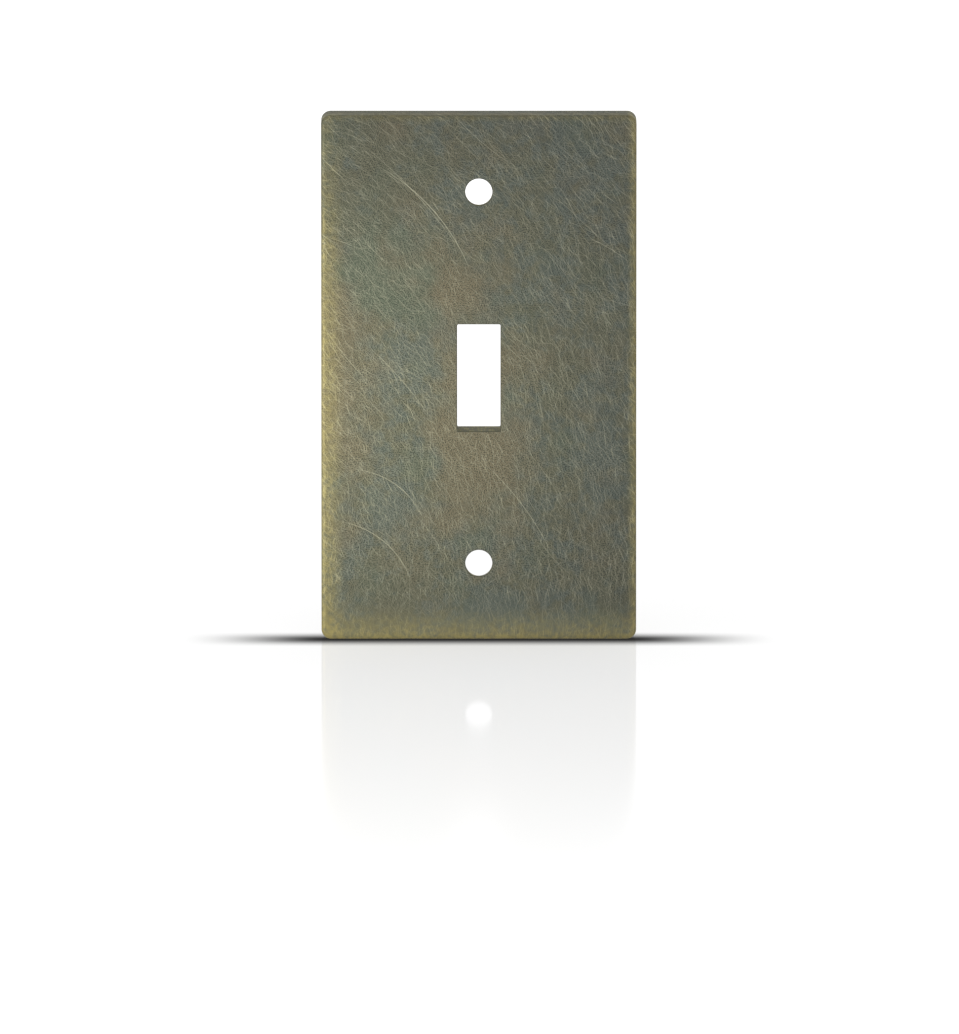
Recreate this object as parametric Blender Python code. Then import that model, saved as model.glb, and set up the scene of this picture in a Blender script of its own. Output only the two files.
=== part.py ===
"""Cover plate for one toggle switch: a single piece of brass with a hollow back.

Units are metres. X runs to the right and Z up as seen from the room, and Y runs into the wall.
The origin is the plate's centre in the plane of the wall, so the plate fills Y from its front
face at -PLATE_DEPTH to its rear rim at 0.
"""

from math import cos, pi, radians, sin

import bmesh
import bpy

# Driving dimensions
PLATE_WIDTH = 0.06985  # 2 3/4 in
PLATE_HEIGHT = 0.1175  # 4 5/8 in
PLATE_DEPTH = 0.0079  # 5/16 in, how far the front face stands off the wall
WALL = 0.0016  # thickness of the face and of the sides
CORNER_RADIUS = 0.0021  # the four corners, seen from the front
EDGE_RADIUS = 0.0010  # where the face rolls over into the sides
INNER_FILLET = 0.0007  # where the back of the face meets the sides
INNER_CORNER_RADIUS = 1.2 * INNER_FILLET
RIM_BREAK = 0.0002  # the rim's outer corner
SLOT_WIDTH = 0.0096
SLOT_HEIGHT = 0.0240
SLOT_CORNER_RADIUS = 0.0003
COLLAR_WALL = 0.0014  # thickness of the collar around the slot
COLLAR_GAP = 0.0004  # from the collar's free end to the wall
HOLE_DIAMETER = 0.0060
HOLE_PITCH = 0.0833  # 3 9/32 in, between the two box screws
CUT_BREAK = 0.00025  # softened front edge of the slot and the holes

# Fineness of the round stretches
CORNER_STEPS = 8
HOLE_CORNER_STEPS = 10
FILLET_STEPS = 6
OVERRUN = 0.002  # how far a cutter passes the faces it cuts
SMOOTH_ANGLE = radians(35)

AGED_BRASS = (0.19, 0.18, 0.125, 1.0)

FRONT = -PLATE_DEPTH
BACK_OF_FACE = FRONT + WALL
HALF_WIDTH = PLATE_WIDTH / 2
HALF_HEIGHT = PLATE_HEIGHT / 2
HOLE_RADIUS = HOLE_DIAMETER / 2


def clear_scene():
    """Remove whatever the scene holds."""
    for item in list(bpy.data.objects):
        bpy.data.objects.remove(item, do_unlink=True)


def aged_brass():
    """Dark antique brass, half matt."""
    material = bpy.data.materials.new("aged_brass")
    material.use_nodes = True
    shader = material.node_tree.nodes["Principled BSDF"]
    shader.inputs["Base Color"].default_value = AGED_BRASS
    shader.inputs["Metallic"].default_value = 0.9
    shader.inputs["Roughness"].default_value = 0.42
    material.diffuse_color = AGED_BRASS
    return material


def rounded_rectangle(half_width, half_height, radius, steps):
    """Points (x, z) of a rounded rectangle, anticlockwise from its right side.

    A radius of half the width and height gives a circle, whose corners share their end points.
    """
    is_circle = radius >= half_width and radius >= half_height
    last = steps if is_circle else steps + 1
    corners = ((1, 1), (-1, 1), (-1, -1), (1, -1))
    points = []
    for quarter, (side_x, side_z) in enumerate(corners):
        for step in range(last):
            angle = (quarter + step / steps) * pi / 2
            x = side_x * (half_width - radius) + radius * cos(angle)
            z = side_z * (half_height - radius) + radius * sin(angle)
            points.append((x, z))
    return points


def loft(name, sections, steps, offset_z=0.0):
    """A closed solid through sections (y, half_width, half_height, radius), given front to back."""
    mesh = bmesh.new()
    rings = []
    for y, half_width, half_height, radius in sections:
        points = rounded_rectangle(half_width, half_height, radius, steps)
        rings.append([mesh.verts.new((x, y, z + offset_z)) for x, z in points])
    for near, far in zip(rings, rings[1:]):
        for index in range(len(near)):
            after = (index + 1) % len(near)
            mesh.faces.new((near[index], far[index], far[after], near[after]))
    mesh.faces.new(rings[0])
    mesh.faces.new(reversed(rings[-1]))
    bmesh.ops.recalc_face_normals(mesh, faces=mesh.faces)
    data = bpy.data.meshes.new(name)
    mesh.to_mesh(data)
    mesh.free()
    item = bpy.data.objects.new(name, data)
    bpy.context.scene.collection.objects.link(item)
    return item


def rolled_edge(y_front, half_width, half_height, corner_radius, roll):
    """Sections of a front edge that rolls over by a quarter circle of radius roll."""
    sections = []
    for step in range(FILLET_STEPS + 1):
        angle = step / FILLET_STEPS * pi / 2
        inset = roll * (1 - sin(angle))
        depth = roll * (1 - cos(angle))
        sections.append(
            (y_front + depth, half_width - inset, half_height - inset, corner_radius - inset)
        )
    return sections


def outer_block():
    """The plate's outside as a full block: rolled front edge, straight sides, broken rim corner."""
    sections = rolled_edge(FRONT, HALF_WIDTH, HALF_HEIGHT, CORNER_RADIUS, EDGE_RADIUS)
    sections.append((-RIM_BREAK, HALF_WIDTH, HALF_HEIGHT, CORNER_RADIUS))
    sections.append(
        (0.0, HALF_WIDTH - RIM_BREAK, HALF_HEIGHT - RIM_BREAK, CORNER_RADIUS - RIM_BREAK)
    )
    return loft("cover_plate", sections, CORNER_STEPS)


def hollow_cutter():
    """The space inside the back, past the rim, with a fillet against the back of the face."""
    width, height = HALF_WIDTH - WALL, HALF_HEIGHT - WALL
    sections = rolled_edge(BACK_OF_FACE, width, height, INNER_CORNER_RADIUS, INNER_FILLET)
    sections.append((OVERRUN, width, height, INNER_CORNER_RADIUS))
    return loft("hollow_cutter", sections, CORNER_STEPS)


def collar_block():
    """The collar around the slot as a full block, from inside the face to its free end."""
    width = SLOT_WIDTH / 2 + COLLAR_WALL
    height = SLOT_HEIGHT / 2 + COLLAR_WALL
    radius = SLOT_CORNER_RADIUS + COLLAR_WALL
    sections = [
        (FRONT + WALL / 2, width, height, radius),
        (-COLLAR_GAP, width, height, radius),
    ]
    return loft("collar_block", sections, CORNER_STEPS)


def opening_cutter(name, half_width, half_height, radius, steps, offset_z=0.0):
    """A cutter through the face and past the collar, flared where it leaves the front."""
    flare = CUT_BREAK + OVERRUN
    sections = [
        (FRONT - OVERRUN, half_width + flare, half_height + flare, radius + flare),
        (FRONT + CUT_BREAK, half_width, half_height, radius),
        (OVERRUN, half_width, half_height, radius),
    ]
    return loft(name, sections, steps, offset_z)


def boolean(target, operation, other):
    """Join other to target, or cut it away, and keep other as a guide only."""
    step = target.modifiers.new(f"{operation.lower()}_{other.name}", "BOOLEAN")
    step.operation = operation
    step.solver = "EXACT"
    step.object = other
    other.hide_render = True
    other.display_type = "WIRE"


def smooth(item):
    """Smooth shading, with sharp edges where the shape turns hard."""
    item.data.shade_smooth()
    item.data.set_sharp_from_angle(angle=SMOOTH_ANGLE)


def cover_plate():
    """The plate: hollowed from behind, given its collar, and pierced by the slot and two holes."""
    plate = outer_block()
    smooth(plate)
    plate.data.materials.append(aged_brass())
    boolean(plate, "DIFFERENCE", hollow_cutter())
    boolean(plate, "UNION", collar_block())
    slot = opening_cutter(
        "slot_cutter", SLOT_WIDTH / 2, SLOT_HEIGHT / 2, SLOT_CORNER_RADIUS, CORNER_STEPS
    )
    boolean(plate, "DIFFERENCE", slot)
    for name, side in (("upper_hole_cutter", 1), ("lower_hole_cutter", -1)):
        hole = opening_cutter(
            name, HOLE_RADIUS, HOLE_RADIUS, HOLE_RADIUS, HOLE_CORNER_STEPS, side * HOLE_PITCH / 2
        )
        boolean(plate, "DIFFERENCE", hole)
    return plate


clear_scene()
cover_plate()
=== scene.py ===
"""Looks of the toggle-switch cover plate: its fine surface, its aged brass, and a studio to show it in.

The plate stands upright on a white floor with its face towards -Y. Lengths are in metres in the
geometry and in millimetres inside the materials. The CAD node gives the plate's overall size, and
every other number is the plate's own or a choice of finish.
"""

from math import cos, hypot, pi, radians, sin, tau

import bmesh
import bpy
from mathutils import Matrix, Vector
from mathutils.geometry import delaunay_2d_cdt


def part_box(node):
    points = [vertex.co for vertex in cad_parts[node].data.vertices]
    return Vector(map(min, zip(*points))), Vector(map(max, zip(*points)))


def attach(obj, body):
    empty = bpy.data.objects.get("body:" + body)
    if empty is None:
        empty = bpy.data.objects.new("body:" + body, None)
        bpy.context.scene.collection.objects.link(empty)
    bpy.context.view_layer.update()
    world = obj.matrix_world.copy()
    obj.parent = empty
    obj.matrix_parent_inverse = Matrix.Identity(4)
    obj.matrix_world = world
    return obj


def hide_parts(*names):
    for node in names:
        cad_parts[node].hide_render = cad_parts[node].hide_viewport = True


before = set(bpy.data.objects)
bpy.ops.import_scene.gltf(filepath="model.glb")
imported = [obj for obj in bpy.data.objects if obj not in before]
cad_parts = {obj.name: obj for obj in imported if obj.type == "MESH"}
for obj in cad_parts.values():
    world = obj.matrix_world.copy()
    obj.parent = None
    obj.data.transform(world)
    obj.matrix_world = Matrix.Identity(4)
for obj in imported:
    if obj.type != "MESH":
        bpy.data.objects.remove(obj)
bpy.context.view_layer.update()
NODE_LOW, NODE_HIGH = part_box("cover_plate")

MM = 0.001

# The plate, as the CAD has it
HALF_WIDTH = NODE_HIGH.x
HALF_HEIGHT = NODE_HIGH.z
FRONT = NODE_LOW.y
REAR = NODE_HIGH.y
WALL = 1.6 * MM
CORNER_RADIUS = 2.1 * MM
EDGE_RADIUS = 1.0 * MM
INNER_FILLET = 0.7 * MM
INNER_CORNER_RADIUS = 1.2 * INNER_FILLET
RIM_BREAK = 0.2 * MM
SLOT_HALF_WIDTH = 4.8 * MM
SLOT_HALF_HEIGHT = 12.0 * MM
SLOT_CORNER_RADIUS = 0.3 * MM
COLLAR_WALL = 1.4 * MM
COLLAR_GAP = 0.4 * MM  # from the collar's free end to the wall
COLLAR_END = REAR - COLLAR_GAP
COLLAR_FILLET = 0.5 * MM
COLLAR_BREAK = 0.2 * MM
HOLE_RADIUS = 3.0 * MM
HOLE_HEIGHT = 41.65 * MM
LIP = 0.15 * MM  # roundness of the cut edges on the front
BACK_OF_FACE = FRONT + WALL

# Fineness of the mesh
PITCH = 0.9 * MM  # between points along straight edges and over the flat of the face
LATTICE_ROOM = 0.55 * PITCH  # least distance from a point of the lattice to an outline
MERGE_DISTANCE = 1e-9  # points of a sheet closer than this are one
CORNER_STEPS = 10
HOLE_STEPS = 56
ROLL_STEPS = 8
LIP_STEPS = 5
SIDE_STEPS = 6
FILLET_STEPS = 6
BREAK_STEPS = 3
COLLAR_STEPS = 5
COLLAR_FILLET_STEPS = 4
HOLE_WALL_STEPS = 3
SMOOTH_ANGLE = radians(40)

# Which material a face takes
OUTSIDE, CUT, BACK = range(3)


# ---------------------------------------------------------------- fine mesh of the plate


class Loop:
    """A closed outline as (base point, outward direction) pairs: a ring at radius r is base + r * out."""

    def __init__(self, pairs):
        self.pairs = pairs

    def ring(self, radius):
        return [(base[0] + radius * out[0], base[1] + radius * out[1]) for base, out in self.pairs]


def rectangle_loop(half_width, half_height, across, upright):
    """Rounded rectangle around a core rectangle; its corners are quarter circles about the core's.

    across and upright are the numbers of steps along its level and its upright sides.
    """
    corners = ((1, 1), (-1, 1), (-1, -1), (1, -1))
    pairs = []
    for quarter, (side_x, side_z) in enumerate(corners):
        corner = (side_x * half_width, side_z * half_height)
        for step in range(CORNER_STEPS + 1):
            angle = (quarter + step / CORNER_STEPS) * pi / 2
            pairs.append((corner, (cos(angle), sin(angle))))
        after_x, after_z = corners[(quarter + 1) % 4]
        after = (after_x * half_width, after_z * half_height)
        out = pairs[-1][1]
        count = upright if quarter % 2 else across
        for step in range(1, count):
            share = step / count
            point = (
                corner[0] + share * (after[0] - corner[0]),
                corner[1] + share * (after[1] - corner[1]),
            )
            pairs.append((point, out))
    return Loop(pairs)


def round_loop(centre_z):
    """Circle about (0, centre_z)."""
    angles = [step / HOLE_STEPS * tau for step in range(HOLE_STEPS)]
    return Loop([((0.0, centre_z), (cos(angle), sin(angle))) for angle in angles])


def quarter_profile(radius_start, y_start, radius_step, y_step, steps, starts_flat):
    """Profile points (radius, y) of a quarter ellipse from a start point, by its two steps.

    starts_flat leaves the start along the radius; otherwise it leaves along y.
    """
    points = []
    for step in range(1, steps + 1):
        angle = step / steps * pi / 2
        across, along = (sin(angle), 1 - cos(angle)) if starts_flat else (1 - cos(angle), sin(angle))
        points.append((radius_start + radius_step * across, y_start + y_step * along))
    return points


def straight_profile(start, end, count):
    """Profile points after start, up to end, in equal steps."""
    return [
        (start[0] + (end[0] - start[0]) * k / count, start[1] + (end[1] - start[1]) * k / count)
        for k in range(1, count + 1)
    ]


class PlateMesh:
    """The plate's surface, made ring by ring and closed by two flat sheets with holes."""

    def __init__(self):
        self.mesh = bmesh.new()

    def add_ring(self, loop, radius, y):
        return [self.mesh.verts.new((x, y, z)) for x, z in loop.ring(radius)]

    def bridge(self, near, far, material):
        for index in range(len(near)):
            after = (index + 1) % len(near)
            face = self.mesh.faces.new((near[index], near[after], far[after], far[index]))
            face.material_index = material

    def sweep(self, loop, ring, profile, material):
        """Carry ring along the profile's points, and return the last ring."""
        for radius, y in profile:
            after = self.add_ring(loop, radius, y)
            self.bridge(ring, after, material)
            ring = after
        return ring

    def sheet(self, y, rings, keep, material):
        """A flat sheet between the rings, filled with an even lattice of points where keep allows."""
        points, owners, edges = [], [], []
        for ring in rings:
            first = len(points)
            for index, vert in enumerate(ring):
                points.append(Vector((vert.co.x, vert.co.z)))
                owners.append(vert)
                edges.append((first + index, first + (index + 1) % len(ring)))
        row_step = PITCH * sin(pi / 3)
        rows = int(HALF_HEIGHT / row_step)
        columns = int(HALF_WIDTH / PITCH) + 1
        for row in range(-rows, rows + 1):
            for column in range(-columns, columns + 1):
                x = (column + (row % 2) / 2) * PITCH
                z = row * row_step
                if keep(x, z) > LATTICE_ROOM:
                    points.append(Vector((x, z)))
                    owners.append(self.mesh.verts.new((x, y, z)))
        _, _, faces, origins, _, _ = delaunay_2d_cdt(points, edges, [], 0, MERGE_DISTANCE)
        for face in faces:
            corners = [owners[origins[index][0]] for index in face]
            middle = sum((corner.co for corner in corners), Vector()) / len(corners)
            if keep(middle.x, middle.z) > 0:
                self.mesh.faces.new(corners).material_index = material


def rectangle_distance(x, z, half_width, half_height, radius):
    """Signed distance to a rounded rectangle, negative inside."""
    over_x = abs(x) - half_width + radius
    over_z = abs(z) - half_height + radius
    outside = hypot(max(over_x, 0.0), max(over_z, 0.0))
    return outside + min(max(over_x, over_z), 0.0) - radius


def sheet_room(outer, slot, hole_radius):
    """A function giving how far a point is inside a sheet: within outer, clear of slot and holes."""

    def room(x, z):
        holes = min(hypot(x, z - HOLE_HEIGHT), hypot(x, z + HOLE_HEIGHT)) - hole_radius
        return min(-rectangle_distance(x, z, *outer), rectangle_distance(x, z, *slot), holes)

    return room


def plate_mesh():
    """The whole plate as one closed surface."""
    plate = PlateMesh()

    # Outside: front flat, rolled edge, side, broken rim corner, rim
    steps = (round(2 * HALF_WIDTH / PITCH), round(2 * HALF_HEIGHT / PITCH))
    outer_loop = rectangle_loop(HALF_WIDTH - CORNER_RADIUS, HALF_HEIGHT - CORNER_RADIUS, *steps)
    flat_radius = CORNER_RADIUS - EDGE_RADIUS
    front_ring = plate.add_ring(outer_loop, flat_radius, FRONT)
    profile = quarter_profile(flat_radius, FRONT, EDGE_RADIUS, EDGE_RADIUS, ROLL_STEPS, True)
    side_end = (CORNER_RADIUS, REAR - RIM_BREAK)
    profile += straight_profile(profile[-1], side_end, SIDE_STEPS)
    profile += quarter_profile(*side_end, -RIM_BREAK, RIM_BREAK, BREAK_STEPS, False)
    rim_outer = plate.sweep(outer_loop, front_ring, profile, OUTSIDE)

    # Inside: rim, inner side, fillet
    inner_width, inner_height = HALF_WIDTH - WALL, HALF_HEIGHT - WALL
    inner_loop = rectangle_loop(
        inner_width - INNER_CORNER_RADIUS, inner_height - INNER_CORNER_RADIUS, *steps
    )
    rim_inner = plate.add_ring(inner_loop, INNER_CORNER_RADIUS + RIM_BREAK / 2, REAR)
    plate.bridge(rim_outer, rim_inner, BACK)
    profile = [(INNER_CORNER_RADIUS, REAR - RIM_BREAK / 2)]
    fillet_start = (INNER_CORNER_RADIUS, BACK_OF_FACE + INNER_FILLET)
    profile += straight_profile(profile[-1], fillet_start, SIDE_STEPS)
    profile += quarter_profile(*fillet_start, -INNER_FILLET, -INNER_FILLET, FILLET_STEPS, False)
    back_ring = plate.sweep(inner_loop, rim_inner, profile, BACK)

    # Slot: lip, wall, collar's end, collar's outside, fillet
    slot_loop = rectangle_loop(
        SLOT_HALF_WIDTH - SLOT_CORNER_RADIUS,
        SLOT_HALF_HEIGHT - SLOT_CORNER_RADIUS,
        round(2 * SLOT_HALF_WIDTH / PITCH),
        round(2 * SLOT_HALF_HEIGHT / PITCH),
    )
    slot_front = plate.add_ring(slot_loop, SLOT_CORNER_RADIUS + LIP, FRONT)
    collar_radius = SLOT_CORNER_RADIUS + COLLAR_WALL
    profile = quarter_profile(SLOT_CORNER_RADIUS + LIP, FRONT, -LIP, LIP, LIP_STEPS, True)
    wall_end = (SLOT_CORNER_RADIUS, COLLAR_END - COLLAR_BREAK)
    profile += straight_profile(profile[-1], wall_end, SIDE_STEPS)
    profile += quarter_profile(*wall_end, COLLAR_BREAK, COLLAR_BREAK, BREAK_STEPS, False)
    collar_end = plate.sweep(slot_loop, slot_front, profile, CUT)
    profile = [(collar_radius - COLLAR_BREAK, COLLAR_END)]
    profile += quarter_profile(*profile[-1], COLLAR_BREAK, -COLLAR_BREAK, BREAK_STEPS, True)
    fillet_start = (collar_radius, BACK_OF_FACE + COLLAR_FILLET)
    profile += straight_profile(profile[-1], fillet_start, COLLAR_STEPS)
    profile += quarter_profile(
        *fillet_start, COLLAR_FILLET, -COLLAR_FILLET, COLLAR_FILLET_STEPS, False
    )
    collar_foot = plate.sweep(slot_loop, collar_end, profile, BACK)

    # Screw holes: lip, wall, break at the back
    hole_fronts, hole_backs = [], []
    for centre_z in (HOLE_HEIGHT, -HOLE_HEIGHT):
        loop = round_loop(centre_z)
        ring = plate.add_ring(loop, HOLE_RADIUS + LIP, FRONT)
        hole_fronts.append(ring)
        profile = quarter_profile(HOLE_RADIUS + LIP, FRONT, -LIP, LIP, LIP_STEPS, True)
        wall_end = (HOLE_RADIUS, BACK_OF_FACE - RIM_BREAK)
        profile += straight_profile(profile[-1], wall_end, HOLE_WALL_STEPS)
        profile += [(HOLE_RADIUS + RIM_BREAK, BACK_OF_FACE)]
        hole_backs.append(plate.sweep(loop, ring, profile, CUT))

    # The two flat sheets
    flat = (HALF_WIDTH - EDGE_RADIUS, HALF_HEIGHT - EDGE_RADIUS, flat_radius)
    slot = (SLOT_HALF_WIDTH + LIP, SLOT_HALF_HEIGHT + LIP, SLOT_CORNER_RADIUS + LIP)
    front_room = sheet_room(flat, slot, HOLE_RADIUS + LIP)
    plate.sheet(FRONT, [front_ring, slot_front, *hole_fronts], front_room, OUTSIDE)
    inner = (inner_width - INNER_FILLET, inner_height - INNER_FILLET, INNER_CORNER_RADIUS - INNER_FILLET)
    reach = COLLAR_WALL + COLLAR_FILLET
    collar = (SLOT_HALF_WIDTH + reach, SLOT_HALF_HEIGHT + reach, collar_radius + COLLAR_FILLET)
    back_room = sheet_room(inner, collar, HOLE_RADIUS + RIM_BREAK)
    plate.sheet(BACK_OF_FACE, [back_ring, collar_foot, *hole_backs], back_room, BACK)

    bmesh.ops.recalc_face_normals(plate.mesh, faces=plate.mesh.faces)
    return plate.mesh


# ---------------------------------------------------------------- node trees

METALLIC = 0.9  # of all the plate's brass
NOISE_MIDDLE = 0.5


class Nodes:
    """Short forms for building one material's node tree."""

    def __init__(self, name):
        self.material = bpy.data.materials.new(name)
        self.material.use_nodes = True
        self.tree = self.material.node_tree
        self.shader = self.tree.nodes["Principled BSDF"]

    def add(self, kind, inputs=(), **settings):
        """A node with its settings, and its inputs set or linked in turn."""
        node = self.tree.nodes.new(kind)
        for name, value in settings.items():
            setattr(node, name, value)
        for socket, value in inputs:
            self.feed(node.inputs[socket], value)
        return node

    def feed(self, socket, value):
        if isinstance(value, bpy.types.NodeSocket):
            self.tree.links.new(value, socket)
        else:
            socket.default_value = value

    def surface(self, socket, value):
        """Set or link one of the shader's own inputs."""
        self.feed(self.shader.inputs[socket], value)

    def relief(self, height, strength, distance):
        """Bump the surface by height, which counts in steps of distance."""
        inputs = (("Height", height), ("Strength", strength), ("Distance", distance))
        self.surface("Normal", self.add("ShaderNodeBump", inputs).outputs[0])

    def math(self, operation, a, b=0.0, c=0.0):
        node = self.add("ShaderNodeMath", ((0, a), (1, b), (2, c)), operation=operation)
        return node.outputs[0]

    def scaled(self, value, gain, offset=0.0):
        return self.math("MULTIPLY_ADD", value, gain, offset)

    def mean(self, a, b):
        return self.math("MULTIPLY_ADD", a, 0.5, self.math("MULTIPLY", b, 0.5))

    def vector_math(self, operation, a, b=(0, 0, 0)):
        node = self.add("ShaderNodeVectorMath", ((0, a), (1, b)), operation=operation)
        return node.outputs[0]

    def length(self, vector):
        return self.add("ShaderNodeVectorMath", ((0, vector),), operation="LENGTH").outputs["Value"]

    def vector(self, x, y, z=0.0):
        return self.add("ShaderNodeCombineXYZ", ((0, x), (1, y), (2, z))).outputs[0]

    def split(self, vector):
        return self.add("ShaderNodeSeparateXYZ", ((0, vector),)).outputs[:3]

    def split_colour(self, value):
        return self.add("ShaderNodeSeparateColor", ((0, value),)).outputs[:3]

    def ramp(self, value, low, high, start=0.0, end=1.0):
        """Smooth step from start, at low, to end, at high."""
        inputs = ((0, value), (1, low), (2, high), (3, start), (4, end))
        node = self.add("ShaderNodeMapRange", inputs, interpolation_type="SMOOTHSTEP")
        return node.outputs[0]

    def mix(self, share, a, b):
        """Colour between a and b. The Mix node takes its colours in sockets 6 and 7."""
        node = self.add("ShaderNodeMix", ((0, share), (6, a), (7, b)), data_type="RGBA")
        return node.outputs[2]

    def place(self, vector, angle, size, offset=(0, 0)):
        """Coordinates turned by angle degrees and counted in steps of size (along, across)."""
        inputs = (
            ("Vector", vector),
            ("Location", (*offset, 0)),
            ("Rotation", (0, 0, radians(angle))),
            ("Scale", (*size, 1)),
        )
        return self.add("ShaderNodeMapping", inputs, vector_type="TEXTURE").outputs[0]

    def noise(self, vector, scale, detail):
        inputs = (("Vector", vector), ("Scale", scale), ("Detail", detail))
        return self.add("ShaderNodeTexNoise", inputs).outputs[0]

    def flat_noise(self, vector, scale, detail, output=0):
        inputs = (("Vector", vector), ("Scale", scale), ("Detail", detail))
        return self.add("ShaderNodeTexNoise", inputs, noise_dimensions="2D").outputs[output]

    def swayed(self, vector, scale, reach):
        """Flat coordinates pushed about by slow noise, up to about reach."""
        drift = self.flat_noise(vector, scale, detail=1.0, output="Color")
        east, north, _ = self.split_colour(drift)
        push = self.vector(
            self.scaled(east, reach, -reach / 2),
            self.scaled(north, reach, -reach / 2),
        )
        return self.vector_math("ADD", vector, push)

    def cells(self, vector):
        """Nearest cell's random colour and place."""
        inputs = (("Vector", vector), ("Scale", 1.0), ("Randomness", 1.0))
        node = self.add("ShaderNodeTexVoronoi", inputs, voronoi_dimensions="2D")
        return node.outputs["Color"], node.outputs["Position"]

    def oval(self, flat, centre, radii):
        """1 at the centre of an oval, and 0 at its outline and beyond."""
        reach = self.vector_math("SUBTRACT", flat, (*centre, 0))
        reach = self.vector_math("MULTIPLY", reach, (1 / radii[0], 1 / radii[1], 0))
        return self.ramp(self.length(reach), 1.0, 0.0)

    def millimetres(self):
        """Place in millimetres and outward direction, both in the object's frame."""
        source = self.add("ShaderNodeTexCoord")
        scaled = self.add("ShaderNodeVectorMath", ((0, source.outputs["Object"]),), operation="SCALE")
        scaled.inputs["Scale"].default_value = 1 / MM
        return scaled.outputs[0], source.outputs["Normal"]

    def behind_face(self, place):
        """How far a place lies behind the plate's face, in millimetres."""
        _, y, _ = self.split(place)
        return self.math("SUBTRACT", y, FRONT / MM)


def colour(red, green, blue):
    return (red, green, blue, 1.0)


def grey(level):
    return colour(level, level, level)


# ---------------------------------------------------------------- aged brass of the outside

# Patina tints, and the brass that shows in scratches and where the plate is rubbed
SLATE = colour(0.100, 0.114, 0.099)
OLIVE = colour(0.116, 0.116, 0.083)
MOSS = colour(0.104, 0.120, 0.090)
BROWN = colour(0.145, 0.128, 0.087)
DARK = colour(0.030, 0.034, 0.030)
STRAW = colour(0.38, 0.372, 0.280)
GOLD = colour(0.240, 0.205, 0.086)

# Painted light: a pool of light from the left painted into the face's colour, as centre and radii in mm,
# and how much each colour gains there
PAINTED_LIGHT_OVAL = ((-42.0, -10.0), (95.0, 90.0))
PAINTED_LIGHT_GAINS = (1.00, 0.98, 0.78)

# Clouds of a tint: centre and radii in mm, and how strongly each is felt
WARM_CLOUDS = (
    ((0.0, -14.0), (17.0, 40.0), 1.0),
    ((-3.0, 19.0), (15.0, 25.0), 0.75),
    ((-36.0, 0.0), (20.0, 40.0), 1.0),
)
MOSS_CLOUDS = (((-19.0, 24.0), (20.0, 20.0), 1.0),)
CLOUD_LIFT = 0.46  # how far a cloud at full strength lifts the noise that tears its edge
CLOUD_EDGE = (0.50, 0.86)  # and where in the lifted noise the tint sets in and is full

# Noises of the outside: steps per mm, and detail
CLOUD = (0.07, 4.0)
SPECK = (0.45, 3.0)
TORN_CLOUD = (0.1, 4.0)
TORN_WEAR = (0.8, 5.0)
GRAIN = (4.4, 2.0)
HAIR_DENSITY = (0.09, 2.0)
STROKE_SWAY = (0.035, 4.0)  # steps per mm, and reach in mm

# Where the noises turn slate to olive, and where the grain turns to dark pits, with their share
SPOT_EDGE = (0.42, 0.58)
PIT_EDGE = (0.56, 0.34, 0.0, 0.94)

# Changes along an axis of the plate: from and to in mm, and the factor at each
PITS_AT_FOOT = (-57.0, -46.0, 0.3, 1.0)
HAIRS_AT_FOOT = (-57.0, -46.0, 0.35, 1.0)
HAIRS_TO_RIGHT = (-5.0, 25.0, 1.0, 1.12)
LEFT_WEAR_CHANGES = ((54.0, 24.0, 0.45, 1.0), (-25.0, -50.0, 1.0, 1.3))
WEAR_ON_SIDES = (1.5, 5.0, 1.0, 0.35)  # counted from the face backwards

# Wear along the outline: its reach inwards in mm, and how strong it is at the outline
LEFT_WEAR = (5.8, 1.15)
RIGHT_WEAR = (2.4, 1.4)
FOOT_WEAR = (8.0, 1.4)
FOOT_LINE = (1.8, 0.9)
TOP_WEAR = (1.8, 0.55)

# Wear is torn by noise and follows the hairs: gain and offset
WEAR_BY_NOISE = (2.0, -0.1)
WEAR_BY_HAIRS = (2.4, 0.35)

# Polishing strokes swing about this point, in mm; at STROKE_RADIUS they are at their true length
STROKE_CENTRE = (-120.0, -60.0)
STROKE_RADIUS = 135.0
ALONG_STROKES = 90  # degrees in the strokes' frame

# Every hair
HAIR_REACH = 0.48  # half its length, as a share of its cell's length
HAIR_CORE = 0.25  # share of its half width at full strength
HAIR_BEND = 0.012  # how much its curve may vary, per mm

# Fine hairs: direction in the strokes' frame, cell along and across in mm, and strength
FINE_HALF_WIDTH = 0.09
FINE_SPREAD = 0.35  # how much the slope may vary
FINE_LEFT_OUT = 0.2  # share of cells with no hair
FINE_SHIFT = (11.3, 6.7)  # from one set to the next, so that no two line up
FINE_HAIRS = (
    (ALONG_STROKES, (6.5, 0.70), 0.50),
    (81, (6.0, 0.70), 0.50),
    (99, (6.0, 0.70), 0.50),
    (72, (5.5, 0.70), 0.44),
    (109, (5.5, 0.70), 0.44),
    (60, (5.0, 0.70), 0.38),
    (122, (5.0, 0.70), 0.38),
    (38, (4.5, 0.70), 0.32),
    (146, (4.5, 0.70), 0.32),
    (12, (4.5, 0.70), 0.28),
)

# Single scratches: direction, cell, half width, share of cells left out, and strength
SINGLE_SPREAD = 0.4
SINGLE_SHIFT = (3.7, 9.1)
SINGLE_HAIRS = (
    (88, (12.0, 2.8), 0.10, 0.35, 0.28),
    (106, (10.0, 2.6), 0.10, 0.40, 0.28),
    (68, (9.0, 3.0), 0.10, 0.40, 0.28),
    (134, (9.0, 3.6), 0.10, 0.50, 0.27),
    (82, (26.0, 7.0), 0.11, 0.45, 0.42),
    (108, (30.0, 8.0), 0.11, 0.50, 0.42),
)

# Strength of all the hairs: gain and offset on its noise, and the place with the faintest of them
HAIRS_BY_NOISE = (0.48, 0.60)
CALM = ((0.0, 18.0), (14.0, 22.0))
CALM_LOSS = 0.3
MARK_SHARE = 0.6  # how much bare brass a mark of strength 1 shows

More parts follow.
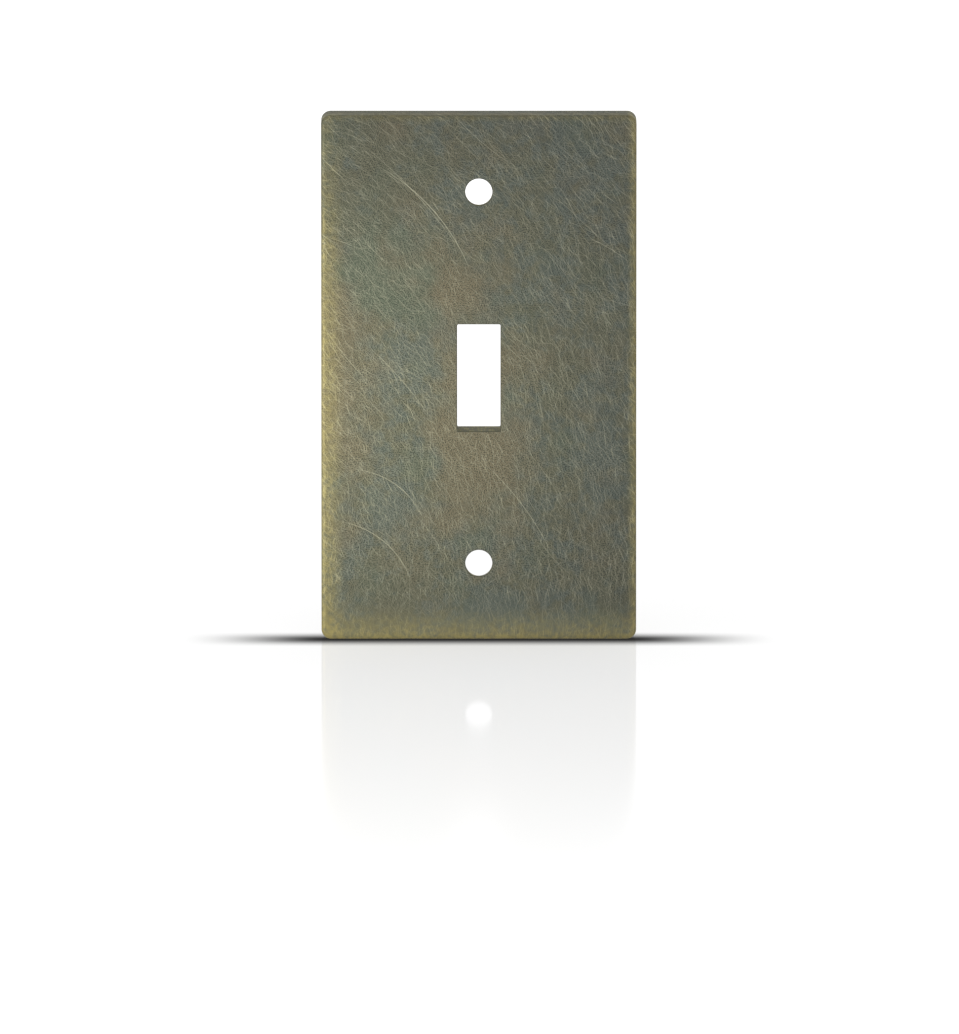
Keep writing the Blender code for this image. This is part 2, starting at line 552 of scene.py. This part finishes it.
# Long scratches: centre of the circle, radius, middle direction, half angle (mm, degrees), strength
ARC_HALF_WIDTH = 0.12
LONG_ARCS = (
    ((-44.0, 8.0), 45.0, 41.0, 22.0, 1.19),
    ((-88.0, -26.0), 100.0, 43.0, 11.0, 0.62),
    ((42.0, 101.0), 63.5, -131.0, 10.0, 0.69),
    ((11.0, -1.0), 35.0, 59.0, 10.0, 0.75),
    ((1.0, 80.0), 47.0, -135.0, 7.0, 0.75),
    ((-29.0, -38.5), 18.0, 54.0, 36.0, 0.81),
    ((-34.0, -52.0), 20.0, 48.0, 38.0, 0.94),
    ((-41.0, -66.0), 63.0, 36.0, 15.0, 0.75),
    ((37.5, -22.0), 28.0, -140.0, 16.0, 0.50),
    ((-77.0, -52.0), 79.0, 41.0, 9.0, 0.62),
    ((26.5, 50.0), 72.0, -141.0, 8.0, 0.62),
)

# Roughness of the outside, and what changes it
FACE_ROUGHNESS = 0.46
RUB_ROUGHNESS = -0.10  # where scratched or worn bright
CLOUD_ROUGHNESS = 0.2
ROLL_ROUGHNESS = (0.0, 0.6, 0.0, 0.3)  # from and to in mm behind the face, and what is added there

# Relief of the outside: noise drawn out along the strokes, and grain
STROKE_STEPS = (3.0, 0.25)  # mm of one noise step along and across the strokes
STROKE_DETAIL = 2.0
GRAIN_RELIEF = 0.6
FACE_RELIEF = (0.3, 0.02 * MM)  # strength, and metres for one step of height


def unrolled(nodes, place, outward, behind):
    """Flat coordinates of the outside: the face as it is, and the sides folded out level with it."""
    x, _, z = nodes.split(place)
    out_x, _, out_z = nodes.split(outward)
    across = nodes.math("MULTIPLY_ADD", out_x, behind, x)
    upright = nodes.math("MULTIPLY_ADD", out_z, behind, z)
    return across, upright


def bowed(nodes, flat):
    """Coordinates (across, along) of the polishing strokes, which swing about a far lower-left point."""
    reach = nodes.vector_math("SUBTRACT", flat, (*STROKE_CENTRE, 0))
    x, y, _ = nodes.split(reach)
    turn = nodes.math("ARCTAN2", y, x)
    return nodes.vector(nodes.length(reach), nodes.math("MULTIPLY", turn, STROKE_RADIUS))


def hair_set(nodes, sheet, angle, cell, half_width, spread, left_out, weight, offset, so_far):
    """Add to so_far one curved hair scratch per cell, each with its own slant, bend and strength.

    cell is (along, across) in mm; spread is how much the slope may vary; left_out is the share of
    cells with no hair; weight is the strongest hair's strength. A hair tapers to both ends.
    """
    along_mm, across_mm = cell
    placed = nodes.place(sheet, angle, cell, offset)
    random, middle = nodes.cells(placed)
    along, across, _ = nodes.split(nodes.vector_math("SUBTRACT", placed, middle))
    slant, curve, strength = nodes.split_colour(random)
    slope = spread * along_mm / across_mm
    bow = HAIR_BEND * along_mm**2 / across_mm
    slant = nodes.scaled(slant, slope, -slope / 2)
    curve = nodes.scaled(curve, bow, -bow / 2)
    rise = nodes.math("MULTIPLY", along, nodes.math("MULTIPLY_ADD", curve, along, slant))
    off = nodes.vector(nodes.math("SUBTRACT", across, rise), along)
    off = nodes.vector_math("MULTIPLY", off, (across_mm / half_width, 1 / HAIR_REACH, 0))
    line = nodes.ramp(nodes.length(off), HAIR_CORE, 1.0, 1.0, 0.0)
    shown = nodes.ramp(strength, left_out, 1.0, 0.0, weight)
    return nodes.math("MULTIPLY_ADD", line, shown, so_far)


def arc(nodes, sheet, centre, radius, towards, half_angle, weight, so_far):
    """Add to so_far one long scratch: part of a circle, fading half_angle degrees each way."""
    reach = nodes.vector_math("SUBTRACT", sheet, (*centre, 0))
    length = nodes.length(reach)
    off = nodes.math("ABSOLUTE", nodes.math("SUBTRACT", length, radius))
    line = nodes.ramp(off, 0.0, ARC_HALF_WIDTH, weight, 0.0)
    heading = (cos(radians(towards)), sin(radians(towards)), 0)
    inputs = ((0, reach), (1, heading))
    ahead = nodes.add("ShaderNodeVectorMath", inputs, operation="DOT_PRODUCT").outputs["Value"]
    shown = nodes.ramp(nodes.math("DIVIDE", ahead, length), cos(radians(half_angle)), 1.0)
    return nodes.math("MULTIPLY_ADD", line, shown, so_far)


def hairs_and_scratches(nodes, flat, strokes, across, upright):
    """Strength of every mark on the outside: fine hairs, single scratches and long arcs."""
    marks = 0.0
    for k, (angle, cell, weight) in enumerate(FINE_HAIRS):
        offset = (FINE_SHIFT[0] * k, FINE_SHIFT[1] * k)
        kind = (cell, FINE_HALF_WIDTH, FINE_SPREAD, FINE_LEFT_OUT, weight)
        marks = hair_set(nodes, strokes, angle, *kind, offset, marks)
    for k, (angle, cell, half_width, left_out, weight) in enumerate(SINGLE_HAIRS):
        offset = (SINGLE_SHIFT[0] * k, SINGLE_SHIFT[1] * k)
        kind = (cell, half_width, SINGLE_SPREAD, left_out, weight)
        marks = hair_set(nodes, strokes, angle, *kind, offset, marks)
    density = nodes.scaled(nodes.flat_noise(flat, *HAIR_DENSITY), *HAIRS_BY_NOISE)
    density = nodes.math("MULTIPLY", density, nodes.ramp(upright, *HAIRS_AT_FOOT))
    calm = nodes.scaled(nodes.oval(flat, *CALM), -CALM_LOSS, 1.0)
    density = nodes.math("MULTIPLY", density, calm)
    density = nodes.math("MULTIPLY", density, nodes.ramp(across, *HAIRS_TO_RIGHT))
    marks = nodes.math("MULTIPLY", marks, density)
    for centre, radius, towards, half_angle, weight in LONG_ARCS:
        marks = arc(nodes, flat, centre, radius, towards, half_angle, weight, marks)
    return marks


def clouds(nodes, flat, ovals, ragged):
    """Share of a tint: the strongest oval, torn up by the noise ragged."""
    share = 0.0
    for centre, radii, weight in ovals:
        one = nodes.math("MULTIPLY", nodes.oval(flat, centre, radii), weight)
        share = nodes.math("MAXIMUM", share, one)
    return nodes.ramp(nodes.math("MULTIPLY_ADD", share, CLOUD_LIFT, ragged), *CLOUD_EDGE)


def patina_tints(nodes, place, flat, upright, cloud, grain):
    """Colour of the patina: slate and olive spots, moss and brown clouds, and dark pits."""
    speck = nodes.noise(place, *SPECK)
    patina = nodes.mix(nodes.ramp(nodes.mean(speck, cloud), *SPOT_EDGE), SLATE, OLIVE)
    ragged = nodes.noise(place, *TORN_CLOUD)
    moss = clouds(nodes, flat, MOSS_CLOUDS, nodes.math("SUBTRACT", 1.0, ragged))
    patina = nodes.mix(moss, patina, MOSS)
    patina = nodes.mix(clouds(nodes, flat, WARM_CLOUDS, ragged), patina, BROWN)
    pits = nodes.math("MULTIPLY", nodes.ramp(grain, *PIT_EDGE), nodes.ramp(upright, *PITS_AT_FOOT))
    return nodes.mix(pits, patina, DARK)


def edge_wear(nodes, across, upright):
    """How far the patina is rubbed off near the outline: widest along the foot, least at the top."""
    from_left = nodes.math("ADD", across, HALF_WIDTH / MM)
    from_right = nodes.math("SUBTRACT", HALF_WIDTH / MM, across)
    from_foot = nodes.math("ADD", upright, HALF_HEIGHT / MM)
    from_top = nodes.math("SUBTRACT", HALF_HEIGHT / MM, upright)
    worn = nodes.ramp(from_left, 0.0, *LEFT_WEAR, 0.0)
    for change in LEFT_WEAR_CHANGES:
        worn = nodes.math("MULTIPLY", worn, nodes.ramp(upright, *change))
    sides = (
        (from_right, RIGHT_WEAR),
        (from_foot, FOOT_WEAR),
        (from_foot, FOOT_LINE),
        (from_top, TOP_WEAR),
    )
    for distance, (reach, most) in sides:
        worn = nodes.math("ADD", worn, nodes.ramp(distance, 0.0, reach, most, 0.0))
    return worn


def face_brass():
    """The outside: dark patina under a felt of hair scratches, rubbed golden along the edges, with
    painted light that makes it lighter towards the left middle.
    """
    nodes = Nodes("aged_brass_face")
    place, outward = nodes.millimetres()
    behind = nodes.behind_face(place)
    across, upright = unrolled(nodes, place, outward, behind)
    flat = nodes.vector(across, upright)
    strokes = bowed(nodes, nodes.swayed(flat, *STROKE_SWAY))

    marks = hairs_and_scratches(nodes, flat, strokes, across, upright)
    cloud = nodes.noise(place, *CLOUD)
    grain = nodes.flat_noise(flat, *GRAIN)
    patina = patina_tints(nodes, place, flat, upright, cloud, grain)

    scored = nodes.math("MINIMUM", nodes.math("MULTIPLY", marks, MARK_SHARE), 1.0)
    worn = edge_wear(nodes, across, upright)
    torn = nodes.scaled(nodes.flat_noise(flat, *TORN_WEAR), *WEAR_BY_NOISE)
    worn = nodes.math("MULTIPLY", worn, torn)
    worn = nodes.math("MULTIPLY", worn, nodes.scaled(scored, *WEAR_BY_HAIRS))
    worn = nodes.math("MULTIPLY", worn, nodes.ramp(behind, *WEAR_ON_SIDES))
    worn = nodes.math("MINIMUM", worn, 1.0)

    base = nodes.mix(worn, patina, GOLD)
    base = nodes.mix(scored, base, STRAW)
    # Painted light: the colour is made lighter towards the left middle and darker towards the top and
    # right, as if lit from the left
    painted_light = nodes.oval(flat, *PAINTED_LIGHT_OVAL)
    gain = nodes.vector_math("MULTIPLY", nodes.vector(painted_light, painted_light, painted_light), PAINTED_LIGHT_GAINS)
    base = nodes.vector_math("MULTIPLY", base, nodes.vector_math("ADD", gain, (1, 1, 1)))
    nodes.surface("Base Color", base)

    rough = nodes.scaled(nodes.math("MAXIMUM", scored, worn), RUB_ROUGHNESS, FACE_ROUGHNESS)
    rough = nodes.scaled(nodes.math("SUBTRACT", cloud, NOISE_MIDDLE), CLOUD_ROUGHNESS, rough)
    rough = nodes.math("ADD", rough, nodes.ramp(behind, *ROLL_ROUGHNESS))
    nodes.surface("Roughness", rough)
    nodes.surface("Metallic", METALLIC)

    drawn_out = nodes.place(strokes, ALONG_STROKES, STROKE_STEPS)
    drawn_out = nodes.flat_noise(drawn_out, 1.0, STROKE_DETAIL)
    nodes.relief(nodes.scaled(grain, GRAIN_RELIEF, drawn_out), *FACE_RELIEF)
    return nodes.material


# ---------------------------------------------------------------- walls of the slot and the holes

SOOT = colour(0.090, 0.088, 0.042)
SHEARED = colour(0.235, 0.216, 0.094)
PUNCH_STEPS = (3.2, 0.25, 3.2)  # noise steps per mm: the punch's marks run with the depth
PUNCH_DETAIL = 3.0
PUNCH_EDGE = (0.35, 0.75)  # where the noise turns from soot to sheared brass
BLOTCH = (0.6, 3.0)  # steps per mm, and detail
BLOTCH_SHARE = 0.8
WORN_LIP = (0.5, 0.0)  # mm behind the face over which the lip turns to the face's colour
CUT_ROUGHNESS = (0.3, 0.5)  # gain and offset
CUT_RELIEF = (0.4, 0.03 * MM)  # strength, and metres for one step of height


def cut_brass():
    """Walls of the slot and the holes: dark, with drawn marks from the punch, brighter at the lip."""
    nodes = Nodes("aged_brass_cut")
    place, _ = nodes.millimetres()
    streaks = nodes.noise(nodes.vector_math("MULTIPLY", place, PUNCH_STEPS), 1.0, PUNCH_DETAIL)
    blotch = nodes.math("SUBTRACT", nodes.noise(place, *BLOTCH), NOISE_MIDDLE)
    share = nodes.scaled(blotch, BLOTCH_SHARE, streaks)
    base = nodes.mix(nodes.ramp(share, *PUNCH_EDGE), SOOT, SHEARED)
    worn_lip = nodes.ramp(nodes.behind_face(place), *WORN_LIP)
    nodes.surface("Base Color", nodes.mix(worn_lip, base, OLIVE))
    nodes.surface("Roughness", nodes.scaled(streaks, *CUT_ROUGHNESS))
    nodes.surface("Metallic", METALLIC)
    nodes.relief(streaks, *CUT_RELIEF)
    return nodes.material


# ---------------------------------------------------------------- back

UMBER = colour(0.215, 0.150, 0.070)
TARNISH = colour(0.105, 0.092, 0.058)
STAIN = colour(0.050, 0.042, 0.028)
GROUND = colour(0.420, 0.340, 0.170)

# Noises of the back: steps per mm, and detail
BACK_CLOUD = (0.08, 6.0)
MOTTLE = (0.6, 4.0)
SKIN = (2.6, 3.0)
STAIN_CLOUD = (0.22, 5.0)
LAP_STEPS = (0.12, 1.0, 5.0)  # noise steps per mm: the rim is ground from side to side
LAP_DETAIL = 3.0

# Where each noise turns from one tint to the next, and with what share
MOTTLE_SHARE = 0.6
TARNISH_EDGE = (0.36, 0.62)
STAIN_EDGE = (0.58, 0.72, 0.0, 0.75)
SKIN_EDGE = (0.55, 0.30, 0.0, 0.45)
LAP_EDGE = (0.35, 0.62)
RIM_TARNISH_EDGE = (0.48, 0.66, 0.0, 0.7)
RIM_EDGE = (-0.16, -0.04)  # mm from the wall

BACK_ROUGHNESS = (0.25, 0.36)  # gain and offset
RIM_ROUGHNESS = -0.12
BACK_RELIEF = (0.5, 0.08 * MM)  # strength, and metres for one step of height


def back_brass():
    """The hollow back: dull mottled brass with a cast skin, its rim ground bright with level marks."""
    nodes = Nodes("dull_brass_back")
    place, _ = nodes.millimetres()
    cloud = nodes.noise(place, *BACK_CLOUD)
    mottle = nodes.noise(place, *MOTTLE)
    skin = nodes.noise(place, *SKIN)
    share = nodes.scaled(nodes.math("SUBTRACT", mottle, NOISE_MIDDLE), MOTTLE_SHARE, cloud)
    base = nodes.mix(nodes.ramp(share, *TARNISH_EDGE), TARNISH, UMBER)
    base = nodes.mix(nodes.ramp(nodes.noise(place, *STAIN_CLOUD), *STAIN_EDGE), base, STAIN)
    base = nodes.mix(nodes.ramp(skin, *SKIN_EDGE), base, STAIN)

    # Rim
    laps = nodes.noise(nodes.vector_math("MULTIPLY", place, LAP_STEPS), 1.0, LAP_DETAIL)
    _, depth, _ = nodes.split(place)
    rim = nodes.ramp(depth, *RIM_EDGE)
    ground = nodes.mix(nodes.ramp(laps, *LAP_EDGE), GROUND, UMBER)
    ground = nodes.mix(nodes.ramp(cloud, *RIM_TARNISH_EDGE), ground, TARNISH)
    nodes.surface("Base Color", nodes.mix(rim, base, ground))
    rough = nodes.scaled(mottle, *BACK_ROUGHNESS)
    nodes.surface("Roughness", nodes.scaled(rim, RIM_ROUGHNESS, rough))
    nodes.surface("Metallic", METALLIC)
    nodes.relief(nodes.scaled(laps, rim, skin), *BACK_RELIEF)
    return nodes.material


# ---------------------------------------------------------------- camera, floor and light

ELEVATION = radians(9.5)
LENS = 800.0  # mm
SENSOR = 36.0  # mm, along the frame's long side
VIEW_HEIGHT = 0.2291  # metres of the plate's plane that the frame's height takes in
DROP = 0.0308  # the plate's middle sits this far above the middle of the frame
ASIDE = 0.00015  # and this far to its left
CLIP = (0.05, 50.0)  # metres from the camera

WHITE = grey(1.0)
FLOOR_SIZE = 16.0
FLOOR_GREY = grey(0.3)
FLOOR_IOR = 1.1
GLOW_REACH = 700.0  # mm from the plate over which the floor grows brighter and rougher
FLOOR_ROUGHNESS = (0.55, 0.04)  # gain and offset
FLOOR_GLOW = (0.4, 0.58)  # gain and offset

SHADE_SIDE = (34.0, 68.0)  # mm from the middle over which the contact shade fades out sideways
SHADE_FOOT = (0.5, 10.0)  # and towards the room and the wall
SHADE_DEPTH = 0.97
SHADE_LIFT = 0.02 * MM
SHADE_SIZE = 0.2
SHADE_GREY = grey(0.01)

SOFTBOX_PLACE = (-0.45, -0.30, 0.0)
SOFTBOX_AIM = (0.0, 0.0, -0.01)
SOFTBOX_SIZE = (0.5, 0.4)
SOFTBOX_WATTS = 0.85


def add_camera():
    """A long lens that looks slightly down, aimed below the plate's middle."""
    data = bpy.data.cameras.new("camera")
    data.lens = LENS
    data.sensor_width = SENSOR
    data.clip_start, data.clip_end = CLIP
    camera = bpy.data.objects.new("camera", data)
    bpy.context.scene.collection.objects.link(camera)
    distance = VIEW_HEIGHT * LENS / SENSOR
    back = Vector((0, -cos(ELEVATION), sin(ELEVATION)))
    up = Vector((0, sin(ELEVATION), cos(ELEVATION)))
    aim = Vector((ASIDE, FRONT, 0)) - up * DROP
    camera.location = aim + back * distance
    camera.rotation_euler = (-back).to_track_quat("-Z", "Y").to_euler()
    bpy.context.scene.camera = camera


def add_softbox():
    """A soft light from the left, in front of the plate."""
    data = bpy.data.lights.new("left_softbox", "AREA")
    data.shape = "RECTANGLE"
    data.size, data.size_y = SOFTBOX_SIZE
    data.energy = SOFTBOX_WATTS
    lamp = bpy.data.objects.new("left_softbox", data)
    bpy.context.scene.collection.objects.link(lamp)
    lamp.location = SOFTBOX_PLACE
    beam = Vector(SOFTBOX_AIM) - Vector(SOFTBOX_PLACE)
    lamp.rotation_euler = beam.to_track_quat("-Z", "Y").to_euler()


def floor_white():
    """White floor with its own glow; smooth enough by the plate to mirror it faintly."""
    nodes = Nodes("floor_white")
    place, _ = nodes.millimetres()
    _, towards_room, _ = nodes.split(place)
    away = nodes.ramp(nodes.math("ABSOLUTE", towards_room), 0.0, GLOW_REACH)
    nodes.surface("Roughness", nodes.scaled(away, *FLOOR_ROUGHNESS))
    nodes.surface("Emission Strength", nodes.scaled(away, *FLOOR_GLOW))
    nodes.surface("Emission Color", WHITE)
    nodes.surface("Base Color", FLOOR_GREY)
    nodes.surface("IOR", FLOOR_IOR)
    return nodes.material


def contact_shade():
    """The dark bar where the plate meets the floor, clear at its outline."""
    nodes = Nodes("contact_shade")
    place, _ = nodes.millimetres()
    across, towards_room, _ = nodes.split(place)
    past_side = nodes.ramp(nodes.math("ABSOLUTE", across), *SHADE_SIDE, 1.0, 0.0)
    past_foot = nodes.ramp(nodes.math("ABSOLUTE", towards_room), *SHADE_FOOT, 1.0, 0.0)
    shade = nodes.math("MULTIPLY", past_side, past_foot)
    nodes.surface("Alpha", nodes.math("MULTIPLY", shade, SHADE_DEPTH))
    nodes.surface("Base Color", SHADE_GREY)
    nodes.surface("Roughness", 1.0)
    nodes.surface("Specular IOR Level", 0.0)
    return nodes.material


def add_sheet(name, size, location, material):
    """A level square of the stage."""
    bpy.ops.mesh.primitive_plane_add(size=size, location=location)
    sheet = bpy.context.object
    sheet.name = name
    sheet.data.materials.append(material)
    return sheet


def add_studio():
    """White world, white floor with the contact shade on it, and the softbox."""
    world = bpy.data.worlds.new("studio")
    bpy.context.scene.world = world
    world.use_nodes = True
    background = world.node_tree.nodes["Background"]
    background.inputs["Color"].default_value = WHITE
    background.inputs["Strength"].default_value = 1.0
    bpy.context.scene.view_settings.view_transform = "Standard"

    add_sheet("floor", FLOOR_SIZE, (0, 0, -HALF_HEIGHT), floor_white())
    shade_place = (0, FRONT, -HALF_HEIGHT + SHADE_LIFT)
    shade = add_sheet("contact_shade", SHADE_SIZE, shade_place, contact_shade())
    shade.visible_glossy = False
    shade.visible_diffuse = False
    shade.visible_shadow = False
    add_softbox()


def add_plate():
    """The plate with its three brass finishes, in place of its CAD node."""
    data = bpy.data.meshes.new("brass_cover_plate")
    mesh = plate_mesh()
    mesh.to_mesh(data)
    mesh.free()
    data.shade_smooth()
    data.set_sharp_from_angle(angle=SMOOTH_ANGLE)
    for material in (face_brass(), cut_brass(), back_brass()):
        data.materials.append(material)
    plate = bpy.data.objects.new("brass_cover_plate", data)
    bpy.context.scene.collection.objects.link(plate)
    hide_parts("cover_plate")
    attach(plate, "root")


add_camera()
add_studio()
add_plate()
